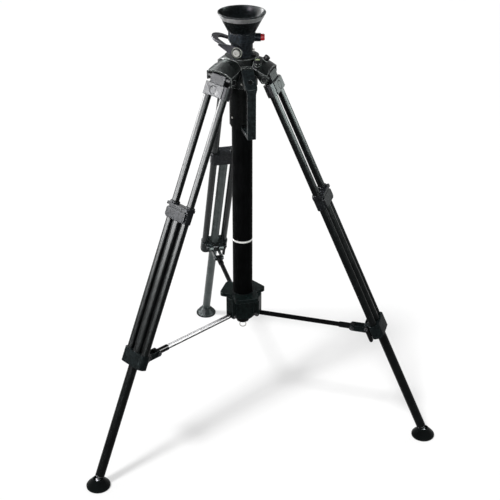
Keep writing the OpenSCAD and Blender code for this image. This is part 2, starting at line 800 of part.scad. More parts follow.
module foot(az) {
    top_d = 27;
    throat = ankle_r + foot_h - ball_h;
    color(black) spin(az) translate([hinge_r + foot_at * sin(leg_tilt), 0, -rim_h]) difference() {
        rotate_extrude() polygon([[0, 0], [foot_d / 2 - 1, 0], [foot_d / 2, 1.5], [foot_d / 2, 5],
            [foot_d / 2 - 2, 8], [top_d / 2 + 3, foot_h - 4], [top_d / 2, foot_h - 1],
            [top_d / 2 - 0.5, foot_h], [0, foot_h]]);
        translate([0, 0, ball_h]) sphere(d = ball_d + 2 * run_gap, $fn = 48);
        translate([0, 0, ball_h + 3])
            cylinder(r1 = ball_d / 2 - 0.4, r2 = throat - 3.2, h = foot_h - ball_h - 2.9);
    }
}

shoulder_casting();
column_housing();
column_tube();
limit_ring();
column_end_cap();
carry_handle();
handle_screw();
column_clamp();
bail_bolts();
level_housing();
level_vial();
pivot_bolts();
bowl();
neck_collar();
inner_column();
column_bush();
release_plunger();
bail_lever();
shoulder_knob();
ballast_ring();
hub_body();
hub_bush();
arm_pins();
arm_rod(LEGS[0]);  // arm_rod_a
arm_rod(LEGS[1]);  // arm_rod_b
arm_rod(LEGS[2]);  // arm_rod_c
arm_sleeve(LEGS[0]);  // arm_sleeve_a
arm_sleeve(LEGS[1]);  // arm_sleeve_b
arm_sleeve(LEGS[2]);  // arm_sleeve_c
leg_knuckle(LEGS[0]);  // leg_knuckle_a
leg_knuckle(LEGS[1]);  // leg_knuckle_b
leg_knuckle(LEGS[2]);  // leg_knuckle_c
leg_block(LEGS[0]);  // leg_block_a
leg_block(LEGS[1]);  // leg_block_b
leg_block(LEGS[2]);  // leg_block_c
outer_tubes(LEGS[0]);  // outer_tubes_a
outer_tubes(LEGS[1]);  // outer_tubes_b
outer_tubes(LEGS[2]);  // outer_tubes_c
leg_clamp(LEGS[0]);  // leg_clamp_a
leg_clamp(LEGS[1]);  // leg_clamp_b
leg_clamp(LEGS[2]);  // leg_clamp_c
clamp_bolts(LEGS[0]);  // clamp_bolts_a
clamp_bolts(LEGS[1]);  // clamp_bolts_b
clamp_bolts(LEGS[2]);  // clamp_bolts_c
slider(LEGS[0]);  // slider_a
slider(LEGS[1]);  // slider_b
slider(LEGS[2]);  // slider_c
centre_tube(LEGS[0]);  // centre_tube_a
centre_tube(LEGS[1]);  // centre_tube_b
centre_tube(LEGS[2]);  // centre_tube_c
ankle(LEGS[0]);  // ankle_a
ankle(LEGS[1]);  // ankle_b
ankle(LEGS[2]);  // ankle_c
foot(LEGS[0]);  // foot_a
foot(LEGS[1]);  // foot_b
foot(LEGS[2]);  // foot_c
clamp_lever(LEGS[0]);  // clamp_lever_a
clamp_lever(LEGS[1]);  // clamp_lever_b
clamp_lever(LEGS[2]);  // clamp_lever_c
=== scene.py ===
import json
import math
import bpy
import bmesh
from mathutils import Matrix, Vector

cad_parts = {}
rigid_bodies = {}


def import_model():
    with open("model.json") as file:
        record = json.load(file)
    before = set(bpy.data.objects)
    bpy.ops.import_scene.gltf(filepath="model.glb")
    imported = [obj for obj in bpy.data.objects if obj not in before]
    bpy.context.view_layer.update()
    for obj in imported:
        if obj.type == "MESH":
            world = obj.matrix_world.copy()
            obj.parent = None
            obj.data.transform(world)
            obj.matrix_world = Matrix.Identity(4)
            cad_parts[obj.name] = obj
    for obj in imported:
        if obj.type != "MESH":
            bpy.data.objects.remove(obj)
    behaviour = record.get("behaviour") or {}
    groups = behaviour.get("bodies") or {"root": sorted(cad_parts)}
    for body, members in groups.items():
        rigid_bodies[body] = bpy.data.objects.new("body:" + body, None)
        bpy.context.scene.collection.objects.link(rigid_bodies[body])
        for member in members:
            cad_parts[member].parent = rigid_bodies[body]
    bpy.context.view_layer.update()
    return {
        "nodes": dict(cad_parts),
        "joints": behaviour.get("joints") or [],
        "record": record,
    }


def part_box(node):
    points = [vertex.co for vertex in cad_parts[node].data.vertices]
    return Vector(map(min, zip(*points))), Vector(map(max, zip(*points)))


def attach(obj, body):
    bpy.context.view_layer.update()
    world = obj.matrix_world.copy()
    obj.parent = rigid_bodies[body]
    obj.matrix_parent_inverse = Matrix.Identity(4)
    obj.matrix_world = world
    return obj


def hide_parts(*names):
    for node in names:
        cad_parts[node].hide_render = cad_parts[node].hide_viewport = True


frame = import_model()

nodes = frame["nodes"]
LEGS = {"a": 90.0, "b": 210.0, "c": 330.0}
MM = 0.001

# ---------------------------------------------------------------- places taken from the frame


def joint(name):
    return next(j for j in frame["joints"] if j["name"] == name)


def vec(v):
    return Vector([float(x) for x in v])


floor_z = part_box("foot_b")[0][2]
hinge = {k: vec(joint("leg_fold_" + k)["pos_m"]) for k in LEGS}
slide_axis = vec(joint("leg_extend_b")["axis"])
TILT = math.degrees(math.asin(math.hypot(slide_axis[0], slide_axis[1])))


def leg_matrix(k):
    """The leg's own frame: z up the leg from its hinge, x away from the column."""
    return (Matrix.Translation(hinge[k]) @ Matrix.Rotation(math.radians(LEGS[k]), 4, "Z")
            @ Matrix.Rotation(math.radians(-TILT), 4, "Y"))


def aim(pos, direction):
    """A frame at pos with z along direction."""
    turn = Vector(direction).to_track_quat("Z", "Y").to_matrix().to_4x4()
    return Matrix.Translation(Vector(pos)) @ turn


# ---------------------------------------------------------------- materials

# The sockets of a colour mix node: its two colours and its result.
MIX_A, MIX_B, MIXED = 6, 7, 2
# The height of the fine relief, in metres.
GRAIN_H = 0.0002
TURNED_H = 0.00005
# The distance between two rings on turned metal, in mm.
TURNED_PITCH = 0.35


class Tree:
    """Adds nodes to one node tree and links them."""

    def __init__(self, tree):
        self.tree = tree
        self.tree.nodes.clear()

    def add(self, kind, **props):
        n = self.tree.nodes.new(kind)
        for key, value in props.items():
            setattr(n, key, value)
        return n

    def link(self, a, out, b, inp):
        self.tree.links.new(a.outputs[out], b.inputs[inp])

    def noise(self, coords, scale, detail, rough=0.55):
        n = self.add("ShaderNodeTexNoise")
        n.inputs["Scale"].default_value = scale
        n.inputs["Detail"].default_value = detail
        n.inputs["Roughness"].default_value = rough
        self.link(*coords, n, "Vector")
        return n

    def span(self, node, out, lo, hi, a=0.0, b=1.0):
        """Maps a node's output from a..b to lo..hi."""
        m = self.add("ShaderNodeMapRange")
        m.inputs["From Min"].default_value = a
        m.inputs["From Max"].default_value = b
        m.inputs["To Min"].default_value = lo
        m.inputs["To Max"].default_value = hi
        self.link(node, out, m, "Value")
        return m

    def mix(self, a, b, fac):
        """Mixes two colours. Each is three floats or a node and its output, and fac is the latter."""
        m = self.add("ShaderNodeMix", data_type="RGBA")
        for socket, value in ((MIX_A, a), (MIX_B, b)):
            if isinstance(value[0], float):
                m.inputs[socket].default_value = (*value, 1.0)
            else:
                self.link(*value, m, socket)
        self.link(*fac, m, "Factor")
        return m

    def drifting(self, drift, colour, tint):
        """A colour that drifts slowly between two."""
        return self.mix(colour, tint, (self.span(drift, "Fac", 0.0, 1.0, 0.35, 0.65), "Result"))


class Graph(Tree):
    """The node tree of a new material, with a Principled shader in it."""

    def __init__(self, name):
        self.mat = bpy.data.materials.new(name)
        self.mat.use_nodes = True
        super().__init__(self.mat.node_tree)
        self.out = self.add("ShaderNodeOutputMaterial")
        self.bsdf = self.add("ShaderNodeBsdfPrincipled")
        self.link(self.bsdf, "BSDF", self.out, "Surface")

    def relief(self, source, out, edge, strength, height):
        """Fine relief from a node's output, over edges that are rounded by edge mm in the shading."""
        bevel = self.add("ShaderNodeBevel", samples=4)
        bevel.inputs["Radius"].default_value = edge * MM
        bump = self.add("ShaderNodeBump")
        bump.inputs["Strength"].default_value = strength
        bump.inputs["Distance"].default_value = height
        self.link(source, out, bump, "Height")
        self.link(bevel, "Normal", bump, "Normal")
        self.link(bump, "Normal", self.bsdf, "Normal")
        return bevel


def coords_for(g, leg=None, squash=None):
    """Object coordinates. For a leg they are turned so that z runs along it, and squash scales them."""
    last = (g.add("ShaderNodeTexCoord"), "Object")
    if leg:
        turn = g.add("ShaderNodeVectorRotate", rotation_type="Z_AXIS")
        turn.inputs["Angle"].default_value = math.radians(-LEGS[leg])
        g.link(*last, turn, "Vector")
        tip = g.add("ShaderNodeVectorRotate", rotation_type="Y_AXIS")
        tip.inputs["Angle"].default_value = math.radians(TILT)
        g.link(turn, "Vector", tip, "Vector")
        last = (tip, "Vector")
    if squash:
        m = g.add("ShaderNodeMapping")
        m.inputs["Scale"].default_value = squash
        g.link(*last, m, "Vector")
        last = (m, "Vector")
    return last


def paint(name, colour, tint, rough, grain, bump, *, specular, edge_wear_and_highlight=(0.10, 0.105, 0.11), wear_and_highlight=0.35, edge=0.7,
          leg=None, streak=None, mottle=34.0):
    """A satin surface: fine grain, slow colour drift, and edges that catch light and turn paler in patches:
    wear, and where the pale colour is bright, a painted highlight.

    grain is the size of the grain in mm, and streak draws the grain out into lines in its place.
    """
    g = Graph(name)
    b = g.bsdf
    flat = coords_for(g, leg)
    drift = g.noise(flat, mottle, 4.0, 0.6)
    if streak:
        fine = g.noise(coords_for(g, leg, streak), 1.0, 2.0)
    else:
        fine = g.noise(flat, 1000.0 / grain, 2.0)
    bevel = g.relief(fine, "Fac", edge, bump, GRAIN_H)

    # Where the rounded normal leaves the face's own there is an edge, and it turns paler in patches: wear,
    # and on the shoulder a painted highlight.
    geo = g.add("ShaderNodeNewGeometry")
    dot = g.add("ShaderNodeVectorMath", operation="DOT_PRODUCT")
    g.link(bevel, "Normal", dot, 0)
    g.link(geo, "Normal", dot, 1)
    wear_and_highlight_patches = g.noise(flat, 160.0, 5.0, 0.7)
    edge_mask = g.span(dot, "Value", 1.0, 0.0, 0.82, 0.99)
    wear_and_highlight_mask = g.add("ShaderNodeMath", operation="MULTIPLY", use_clamp=True)
    g.link(edge_mask, "Result", wear_and_highlight_mask, 0)
    g.link(g.span(wear_and_highlight_patches, "Fac", 0.0, wear_and_highlight, 0.38, 0.62), "Result", wear_and_highlight_mask, 1)
    top = g.mix((g.drifting(drift, colour, tint), MIXED), edge_wear_and_highlight, (wear_and_highlight_mask, "Value"))
    g.link(top, MIXED, b, "Base Color")

    rough_a = g.span(drift, "Fac", rough[0], rough[1], 0.3, 0.7)
    wobble = g.add("ShaderNodeMath", operation="MULTIPLY_ADD")
    g.link(fine, "Fac", wobble, 0)
    wobble.inputs[1].default_value = 0.08
    g.link(rough_a, "Result", wobble, 2)
    g.link(wobble, "Value", b, "Roughness")
    b.inputs["Specular IOR Level"].default_value = specular
    return g.mat


def turned(name, colour, tint, rough):
    """Turned metal: fine rings of relief round the origin, over a slow drift."""
    g = Graph(name)
    b = g.bsdf
    tc = g.add("ShaderNodeTexCoord")
    far = g.add("ShaderNodeVectorMath", operation="LENGTH")
    g.link(tc, "Object", far, 0)
    wave = g.add("ShaderNodeMath", operation="MULTIPLY")
    g.link(far, "Value", wave, 0)
    wave.inputs[1].default_value = 2 * math.pi / (TURNED_PITCH * MM)
    ripple = g.add("ShaderNodeMath", operation="SINE")
    g.link(wave, "Value", ripple, 0)
    drift = g.noise((tc, "Object"), 120.0, 5.0, 0.65)
    g.link(g.drifting(drift, colour, tint), MIXED, b, "Base Color")
    g.link(g.span(drift, "Fac", rough[0], rough[1], 0.3, 0.7), "Result", b, "Roughness")
    g.relief(ripple, "Value", 0.4, 0.15, TURNED_H)
    b.inputs["Metallic"].default_value = 1.0
    return g.mat


def clear(name, colour, tint):
    """A tinted liquid behind glass."""
    g = Graph(name)
    b = g.bsdf
    drift = g.noise((g.add("ShaderNodeTexCoord"), "Object"), 200.0, 3.0)
    g.link(g.drifting(drift, colour, tint), MIXED, b, "Base Color")
    g.link(g.span(drift, "Fac", 0.03, 0.09), "Result", b, "Roughness")
    b.inputs["Transmission Weight"].default_value = 0.55
    b.inputs["IOR"].default_value = 1.45
    return g.mat


M = {
    # The shoulder's very pale edge colour, laid on at full strength, is a painted highlight along the hood's
    # edges.
    "shoulder": paint("shoulder enamel", (0.0016, 0.0020, 0.0020), (0.0052, 0.0068, 0.0066), (0.22, 0.28),
                      0.5, 0.06, edge_wear_and_highlight=(0.62, 0.66, 0.64), wear_and_highlight=1.0, edge=1.9, specular=0.030, mottle=210.0),
    "housing": paint("housing enamel", (0.0010, 0.0012, 0.0012), (0.0034, 0.0040, 0.0040), (0.22, 0.29),
                     0.5, 0.06, specular=0.012, mottle=210.0),
    "neck": paint("neck enamel", (0.0020, 0.0030, 0.0044), (0.0088, 0.0125, 0.0165), (0.21, 0.28),
                  0.6, 0.12, specular=0.022, mottle=210.0),
    "bowl": paint("bowl enamel", (0.0010, 0.0013, 0.0015), (0.0044, 0.0062, 0.0068), (0.19, 0.26),
                  0.5, 0.06, specular=0.018, mottle=190.0),
    "hub": paint("hub moulding", (0.0014, 0.0024, 0.0024), (0.0046, 0.0092, 0.0088), (0.22, 0.30),
                 0.7, 0.10, edge_wear_and_highlight=(0.16, 0.19, 0.19), wear_and_highlight=0.7, edge=1.3, specular=0.022, mottle=190.0),
    "plastic": paint("black moulding", (0.0028, 0.0029, 0.0032), (0.0050, 0.0055, 0.0060), (0.22, 0.29),
                     0.8, 0.08, wear_and_highlight=0.1, specular=0.0225),
    "handle": paint("handle moulding", (0.0026, 0.0036, 0.0042), (0.0085, 0.0125, 0.0135), (0.20, 0.27),
                    0.8, 0.08, edge_wear_and_highlight=(0.16, 0.18, 0.18), wear_and_highlight=0.9, edge=1.4, specular=0.035, mottle=170.0),
    "bail": paint("bail enamel", (0.010, 0.010, 0.0125), (0.020, 0.0195, 0.025), (0.21, 0.28),
                  0.6, 0.08, edge=0.9, specular=0.045),
    "column": paint("column anodising", (0.0010, 0.0011, 0.0012), (0.0020, 0.0022, 0.0024), (0.28, 0.36),
                    0.5, 0.03, specular=0.005, wear_and_highlight=0.1, streak=(900.0, 900.0, 6.0)),
    "rod": paint("spreader lacquer", (0.0010, 0.0010, 0.0012), (0.0022, 0.0022, 0.0024), (0.22, 0.30),
                 0.5, 0.02, specular=0.03, wear_and_highlight=0.1),
    "rubber": paint("foot rubber", (0.0014, 0.0019, 0.0019), (0.0030, 0.0042, 0.0041), (0.30, 0.38),
                    0.5, 0.10, edge_wear_and_highlight=(0.06, 0.07, 0.07), wear_and_highlight=0.5, edge=1.6, specular=0.04),
    "nylon": paint("nylon", (0.30, 0.30, 0.285), (0.42, 0.41, 0.39), (0.38, 0.5),
                   0.6, 0.08, edge_wear_and_highlight=(0.4, 0.4, 0.38), wear_and_highlight=0.1, specular=0.05),
    "white": paint("limit ring", (0.72, 0.72, 0.70), (0.80, 0.80, 0.78), (0.35, 0.45),
                   0.6, 0.06, edge_wear_and_highlight=(0.6, 0.6, 0.58), wear_and_highlight=0.1, specular=0.1),
    "red": paint("red button", (0.36, 0.008, 0.014), (0.50, 0.014, 0.022), (0.30, 0.40),
                 0.6, 0.06, edge_wear_and_highlight=(0.5, 0.08, 0.08), wear_and_highlight=0.2, specular=0.05),
    "steel": turned("turned steel", (0.42, 0.42, 0.40), (0.60, 0.59, 0.56), (0.34, 0.46)),
    "dark_steel": turned("blackened steel", (0.010, 0.010, 0.011), (0.022, 0.022, 0.023), (0.32, 0.44)),
    "vial": clear("level liquid", (0.30, 0.42, 0.10), (0.36, 0.48, 0.14)),
    "band": paint("satin band", (0.045, 0.045, 0.047), (0.085, 0.083, 0.085), (0.30, 0.42),
                  0.35, 0.25, edge_wear_and_highlight=(0.2, 0.2, 0.2), wear_and_highlight=0.3, specular=0.25),
    "rim": paint("turned rim", (0.10, 0.11, 0.09), (0.17, 0.18, 0.15), (0.30, 0.40),
                 0.4, 0.12, edge_wear_and_highlight=(0.3, 0.3, 0.28), wear_and_highlight=0.5, specular=0.05),
    # Lit copies for the back leg's lower tube and foot: their paler colours are painted light.
    "tube_low_a_painted_lit": paint("leg anodising a low painted lit", (0.036, 0.045, 0.045), (0.062, 0.075, 0.074), (0.22, 0.30),
                        0.5, 0.2, edge_wear_and_highlight=(0.06, 0.06, 0.06), wear_and_highlight=0.15, specular=0.15, leg="a",
                        streak=(1100.0, 1100.0, 5.0)),
    "rubber_a_painted_lit": paint("foot rubber a painted lit", (0.0060, 0.0080, 0.0080), (0.0110, 0.0140, 0.0140), (0.30, 0.38),
                      0.5, 0.10, wear_and_highlight=0.05, edge=1.2, specular=0.025),
}


def lifted(colour, by):
    return tuple(c * by for c in colour)


# Each leg has its own finish, with its grain turned along the leg. The back leg, a, gets paler colours and
# more gloss as painted light: a lit copy of the same finish.
SATIN = (0.19, 0.26)
for k in LEGS:
    back = k == "a"
    gloss = 0.20 if back else 0.0375
    for name, colour, tint, painted_lift, share in (
            ("block", (0.0070, 0.0075, 0.0086), (0.0135, 0.0138, 0.0160), 3.2, 0.85 if k == "b" else 1.0),
            ("knuckle", (0.0045, 0.0048, 0.0056), (0.0105, 0.0108, 0.0125), 3.2, 0.5),
            ("clamp", (0.0030, 0.0042, 0.0046), (0.0078, 0.0108, 0.0114), 1.5, 0.35 if back else 0.25),
            ("slider", (0.0044, 0.0050, 0.0058), (0.0110, 0.0118, 0.0138), 1.5, 0.35 if back else 0.42)):
        # On the back leg the colours are raised: painted light.
        by = painted_lift if back else 1.0
        M[name + "_" + k] = paint("leg %s %s" % (name, k), lifted(colour, by), lifted(tint, by), SATIN,
                                  0.9, 0.05, mottle=160.0, specular=gloss * share, leg=k)
    # The back leg's tubes are made paler the same way, as painted light.
    by = 3.2 if back else 1.0
    M["tube_" + k] = paint("leg anodising " + k, lifted((0.0012, 0.0016, 0.0017), by),
                           lifted((0.0030, 0.0038, 0.0040), by), (0.14, 0.20), 0.5, 0.22,
                           edge_wear_and_highlight=(0.03, 0.03, 0.03), wear_and_highlight=0.15, specular=gloss, leg=k,
                           streak=(1100.0, 1100.0, 5.0))


def one_material(me, mat):
    me.materials.clear()
    me.materials.append(M[mat])
    for p in me.polygons:
        p.material_index = 0


# Each CAD node keeps its mesh and gets a procedural material.
LOOK = {"shoulder_casting": "shoulder", "column_housing": "housing", "column_tube": "column",
        "limit_ring": "white", "column_end_cap": "plastic", "carry_handle": "handle",
        "handle_screw": "plastic", "column_clamp": "neck", "bail_bolts": "steel",
        "level_housing": "plastic", "level_vial": "vial", "pivot_bolts": "plastic", "bowl": "bowl",
        "neck_collar": "neck", "inner_column": "column", "column_bush": "nylon",
        "release_plunger": "red", "bail_lever": "bail", "shoulder_knob": "plastic",
        "ballast_ring": "steel", "hub_body": "hub", "hub_bush": "plastic", "arm_pins": "dark_steel"}
for k in LEGS:
    LOOK.update({"arm_rod_" + k: "rod", "arm_sleeve_" + k: "plastic", "leg_knuckle_" + k: "knuckle_" + k,
                 "leg_block_" + k: "block_" + k, "outer_tubes_" + k: "tube_" + k,
                 "leg_clamp_" + k: "clamp_" + k, "clamp_bolts_" + k: "dark_steel",
                 "slider_" + k: "slider_" + k, "centre_tube_" + k: "tube_" + k,
                 "ankle_" + k: "dark_steel", "foot_" + k: "rubber", "clamp_lever_" + k: "plastic"})
LOOK.update({"centre_tube_a": "tube_low_a_painted_lit", "foot_a": "rubber_a_painted_lit"})
for node, mat in LOOK.items():
    one_material(nodes[node].data, mat)

# ---------------------------------------------------------------- pieces

BODY_OF = {n: b for b, ns in frame["record"]["behaviour"]["bodies"].items() for n in ns}
# Edges sharper than these angles, in degrees, stay sharp on the added pieces and are rounded on the skins.
SHARP = 32
ROUNDED = 28


def to_mesh(bm, name):
    me = bpy.data.meshes.new(name)
    bm.to_mesh(me)
    bm.free()
    return me


def smooth(me, angle):
    for p in me.polygons:
        p.use_smooth = True
    me.set_sharp_from_angle(angle=math.radians(angle))


def place(name, bm, frame_m, body, mat):
    """Makes a piece from bm, moved by frame_m, that rides on a body."""
    bmesh.ops.recalc_face_normals(bm, faces=bm.faces)
    me = to_mesh(bm, name)
    me.transform(frame_m)
    ob = bpy.data.objects.new(name, me)
    bpy.context.scene.collection.objects.link(ob)
    one_material(me, mat)
    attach(ob, body)
    smooth(me, SHARP)


def lathe(name, profile, frame_m, body, mat, segs):
    """Turns a closed (radius, height) profile in mm round the frame's z."""
    bm = bmesh.new()
    rings = []
    for i in range(segs):
        a = math.radians(360.0 * i / segs)
        rings.append([bm.verts.new((r * MM * math.cos(a), r * MM * math.sin(a), h * MM)) for r, h in profile])
    n = len(profile)
    for i in range(segs):
        p, q = rings[i], rings[(i + 1) % segs]
        for j in range(n):
            bm.faces.new((p[j], q[j], q[(j + 1) % n], p[(j + 1) % n]))
    bmesh.ops.remove_doubles(bm, verts=bm.verts, dist=1e-7)
    place(name, bm, frame_m, body, mat)


def skin(node, body, width):
    """The node's own shape with its edges really rounded, in place of the sharp solid."""
    bm = bmesh.new()
    bm.from_mesh(nodes[node].data)
    bmesh.ops.remove_doubles(bm, verts=bm.verts, dist=2e-6)
    bmesh.ops.dissolve_limit(bm, angle_limit=math.radians(0.6), verts=bm.verts, edges=bm.edges)
    me = to_mesh(bm, node + "_rounded")
    ob = bpy.data.objects.new(me.name, me)
    bpy.context.scene.collection.objects.link(ob)
    smooth(me, ROUNDED)
    mod = ob.modifiers.new("edges", "BEVEL")
    mod.width = width * MM
    mod.segments = 3
    mod.limit_method = "ANGLE"
    mod.angle_limit = math.radians(ROUNDED)
    mod.miter_outer = "MITER_ARC"
    mod.use_clamp_overlap = True
    mod.harden_normals = True
    deps = bpy.context.evaluated_depsgraph_get()
    rounded = bpy.data.meshes.new_from_object(ob.evaluated_get(deps))
    ob.modifiers.clear()
    ob.data = rounded
    rounded.name = me.name
    one_material(rounded, LOOK[node])
    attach(ob, body)
    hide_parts(node)


def ring_profile(r_in, r_out, lo, hi, soft):
    """A flat ring whose two outer edges are chamfered by soft."""
    return [(r_in, lo), (r_out - soft, lo), (r_out, lo + soft), (r_out, hi - soft), (r_out - soft, hi),
            (r_in, hi)]


# Bowl: a satin band with fine turned lines under the rim, and a soft lip on the rim.
# Heights are in mm from the rim's plane.
UP = Matrix.Identity(4)
rim_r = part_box("bowl")[1][0] / MM
bowl_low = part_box("bowl")[0][2] / MM
CONE_LOW_R = 33.0
CONE_TOP = -2.5
RIM_STEP = 0.6
BAND_LOW, BAND_HIGH = -15.0, -3.9
LINES_LOW, LINES_HIGH, LINE_PITCH = -14.6, -4.4, 0.86
# How far the band lies inside the bowl's wall, and how far its edges stand out from it.
BAND_SUNK, BAND_EDGE, BAND_BEVEL = 0.6, 0.25, 0.2
# One turned line of the band: heights over its start, and how far it stands out from the wall there.
LINE = ((0.0, 0.42), (0.5, 0.42), (0.62, 0.30), (0.74, 0.42))


def cone_r(z):
    """The radius of the bowl's outer wall at a height."""
    return CONE_LOW_R + (rim_r - RIM_STEP - CONE_LOW_R) * (z - bowl_low) / (CONE_TOP - bowl_low)


band = [(cone_r(BAND_LOW) - BAND_SUNK, BAND_LOW), (cone_r(BAND_LOW) + BAND_EDGE, BAND_LOW + BAND_BEVEL)]
z = LINES_LOW
while z < LINES_HIGH:
    band += [(cone_r(z + up) + out, z + up) for up, out in LINE]
    z += LINE_PITCH
band += [(cone_r(BAND_HIGH) + BAND_EDGE, BAND_HIGH), (cone_r(BAND_HIGH) - BAND_SUNK, BAND_HIGH + BAND_BEVEL)]
lathe("bowl_band", band, UP, "column", "band", 128)
lathe("bowl_rim_lip", [(52.3, -1.2), (53.0, -0.35), (54.2, -0.12), (54.9, -0.5), (55.25, -1.4), (55.0, -2.6),
                       (54.2, -2.9)], UP, "column", "bowl", 128)

# Castings and mouldings with their edges really rounded, by so many mm.
for node, width in (("carry_handle", 1.1), ("column_clamp", 0.7), ("neck_collar", 0.6),
                    ("bail_lever", 1.0), ("hub_body", 1.1), ("column_housing", 0.6)):
    skin(node, BODY_OF[node], width)
for k in LEGS:
    for node, width in (("leg_block_", 0.9), ("leg_clamp_", 1.0), ("slider_", 0.8), ("leg_knuckle_", 0.6)):
        skin(node + k, BODY_OF[node + k], width)

# Bail: a dark washer and a pale turned rim round each bolt head.
BOLT_HEAD_H = 4.0
WASHER_H = 0.8
bail_axis = vec(joint("bail_turn")["axis"]).normalized()
bail_at = vec(joint("bail_turn")["pos_m"])
ends = [(v.co - bail_at).dot(bail_axis) for v in nodes["bail_bolts"].data.vertices]
for i, (way, reach) in enumerate(((bail_axis, max(ends)), (-bail_axis, -min(ends)))):
    face = reach / MM - BOLT_HEAD_H - WASHER_H
    seat = aim(bail_at, way)
    lathe("bail_washer_%d" % i, ring_profile(8.3, 10.3, face + 0.05, face + 0.75, 0.2), seat, "bail",
          "plastic", 72)
    lathe("bail_rim_%d" % i, ring_profile(10.6, 12.5, face + 0.05, face + 1.1, 0.35), seat, "bail",
          "rim", 72)

# A screw head's sides, its chamfer in mm, and its socket: how wide it is and how high its floor lies, as
# shares of the head's width and height.
SIDES = 48
HEAD_CHAMFER = 0.5
SOCKET_WIDTH = 0.5
SOCKET_FLOOR = 0.45


def screw(name, pos, direction, head_d, head_h, body, mat):
    """A cap screw head with a chamfered rim and a six-sided socket."""
    r, hole = head_d / 2, head_d * SOCKET_WIDTH / 2
    bm = bmesh.new()
    rings = []
    for rad, h in ((r, 0.0), (r, head_h - HEAD_CHAMFER), (r - HEAD_CHAMFER, head_h)):
        rings.append([bm.verts.new((rad * MM * math.cos(2 * math.pi * i / SIDES),
                                    rad * MM * math.sin(2 * math.pi * i / SIDES), h * MM))
                      for i in range(SIDES)])
    for h in (head_h, head_h * SOCKET_FLOOR):
        ring = []
        for i in range(SIDES):
            turn, step = divmod(i, SIDES // 6)
            p, q = (Vector((math.cos(math.radians(60 * (turn + j))), math.sin(math.radians(60 * (turn + j)))))
                    for j in (0, 1))
            flat = p.lerp(q, step / (SIDES // 6))
            ring.append(bm.verts.new((hole * MM * flat.x, hole * MM * flat.y, h * MM)))
        rings.append(ring)
    for p, q in zip(rings, rings[1:]):
        for i in range(SIDES):
            bm.faces.new((p[i], p[(i + 1) % SIDES], q[(i + 1) % SIDES], q[i]))
    bm.faces.new(rings[-1])
    bm.faces.new(list(reversed(rings[0])))
    place(name, bm, aim(pos, direction), body, mat)


def out_from(azimuth, radius, height):
    """A point at an azimuth and radius from the column, in mm, and the outward direction there."""
    a = math.radians(azimuth)
    way = Vector((math.cos(a), math.sin(a), 0.0))
    return way * (radius * MM) + Vector((0.0, 0.0, height * MM)), way


# The column clamp's pinch screw and its small tab, and two set screws on the barrel and the housing.
clamp_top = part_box("column_clamp")[1][2] / MM
CLAMP_R = 25.5
at, way = out_from(-14.0, CLAMP_R - 0.4, clamp_top - 20.6)
screw("clamp_screw", at, way, 9.0, 4.4, "stand", "steel")
at, way = out_from(-24.0, CLAMP_R - 0.5, clamp_top - 28.4)
lathe("clamp_tab", [(0.0, 0.0), (3.2, 0.0), (3.2, 3.0), (2.4, 3.6), (2.4, 7.2), (1.9, 7.8), (0.0, 7.8)],
      aim(at, way), "stand", "plastic", 36)
at, way = out_from(256.0, 36.6, -160.0)
screw("barrel_set_screw", at, way, 5.2, 1.5, "stand", "steel")
at, way = out_from(205.0, 29.7, -249.0)
screw("housing_set_screw", at, way, 4.6, 1.2, "stand", "steel")

# Black seals round the twin tubes on top of each slider. Each tube lies so many mm beside the leg's middle.
TUBE_SIDE = 26.5
for k in LEGS:
    top = max((v.co - hinge[k]).dot(leg_matrix(k).to_3x3() @ Vector((0.0, 0.0, 1.0)))
              for v in nodes["slider_" + k].data.vertices) / MM
    for i, side in enumerate((-TUBE_SIDE, TUBE_SIDE)):
        lathe("tube_seal_%s_%d" % (k, i), [(9.15, top), (11.9, top), (11.9, top + 1.0), (10.6, top + 2.0),
                                           (9.15, top + 2.3)],
              leg_matrix(k) @ Matrix.Translation((0.0, side * MM, 0.0)), "lower_leg_" + k, "plastic",
              56)

# ---------------------------------------------------------------- the camera, the floor and the light

cam_data = bpy.data.cameras.new("camera")
cam_data.sensor_width = 36.0
cam_data.lens = 80.226
cam = bpy.data.objects.new("camera", cam_data)
bpy.context.scene.collection.objects.link(cam)
cam.location = (-0.5759, -2.4123, 0.7138)
cam.rotation_euler = (math.radians(61.86), 0.0, math.radians(-13.86))
cam_data.clip_start = 0.05
cam_data.clip_end = 400.0
bpy.context.scene.camera = cam

WHITE = (1.0, 1.0, 1.0, 1.0)
# Of what the camera and the gloss see of the floor, this share glows at this strength, and the rest is
# lit, so that it keeps the shadow.
FLOOR_SHARE = 0.50
FLOOR_GLOW = 1.045
FLOOR_SIZE = 120.0
FLOOR_GAP = 0.0004
# The world's strength for diffuse rays. It is 1 for the rays that see the background.
WORLD_LIGHT = 0.45


def seen_mask(g):
    """1 for camera, glossy and transmission rays, 0 for diffuse ones."""
    path = g.add("ShaderNodeLightPath")
    last = (path, "Is Camera Ray")
    for name in ("Is Glossy Ray", "Is Transmission Ray"):
        m = g.add("ShaderNodeMath", operation="MAXIMUM")
        g.link(*last, m, 0)
        g.link(path, name, m, 1)
        last = (m, "Value")
    return last


def floor_material():
    g = Graph("floor")
    g.tree.nodes.remove(g.bsdf)
    diffuse = g.add("ShaderNodeBsdfDiffuse")
    drift = g.noise((g.add("ShaderNodeTexCoord"), "Object"), 0.8, 2.0)
    g.link(g.mix((0.80, 0.80, 0.80), (0.815, 0.815, 0.812), (drift, "Fac")), MIXED, diffuse, "Color")
    glow = g.add("ShaderNodeEmission")
    glow.inputs["Color"].default_value = WHITE
    glow.inputs["Strength"].default_value = FLOOR_GLOW
    share = g.add("ShaderNodeMath", operation="MULTIPLY")
    g.link(*seen_mask(g), share, 0)
    share.inputs[1].default_value = FLOOR_SHARE
    both = g.add("ShaderNodeMixShader")
    g.link(share, "Value", both, 0)
    g.link(diffuse, "BSDF", both, 1)
    g.link(glow, "Emission", both, 2)
    g.link(both, "Shader", g.out, "Surface")
    return g.mat


